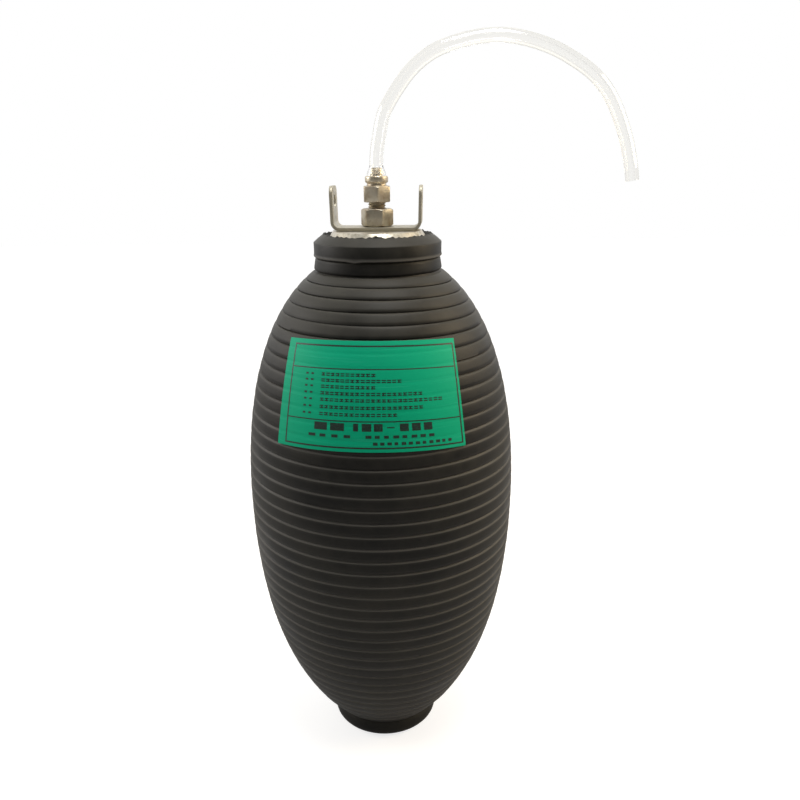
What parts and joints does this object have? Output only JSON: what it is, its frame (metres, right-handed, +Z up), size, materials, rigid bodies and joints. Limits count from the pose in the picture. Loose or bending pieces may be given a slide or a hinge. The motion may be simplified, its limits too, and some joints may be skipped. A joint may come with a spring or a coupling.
{
  "type": "inflatable pipe plug",
  "caption": "Ribbed egg-shaped rubber bladder standing on a short foot, with a steel end plate, a U-shaped lifting bracket and a clear air hose at its mouth.",
  "frame": {"origin": "centre of the foot's flat underside", "axes": "+Z up along the bladder's axis towards the air fitting, -Y towards the label, +X towards the side the hose falls to"},
  "size_m": [0.2815, 0.198, 0.5244],
  "materials": {
    "rubber": "satin black rubber, strip-wound and vulcanised",
    "seal": "matt black sealing rubber",
    "steel": "plain rolled steel, dull",
    "nickel": "nickel-plated, turned",
    "hose": "clear soft hose",
    "label": "printed sheet, fields of colour and plain bars only"
  },
  "bodies": {
    "root": {"bladder": "rubber", "collar": "rubber", "end_plate": "steel", "inner_flange": "steel", "stem_seal": "seal", "flange_gasket": "seal", "inlet_stem": "nickel", "lock_nut": "nickel", "nipple_seal": "seal", "hose_nipple": "nickel", "hose": "hose", "label": "label", "lifting_bracket": "steel"}
  },
  "joints": []
}
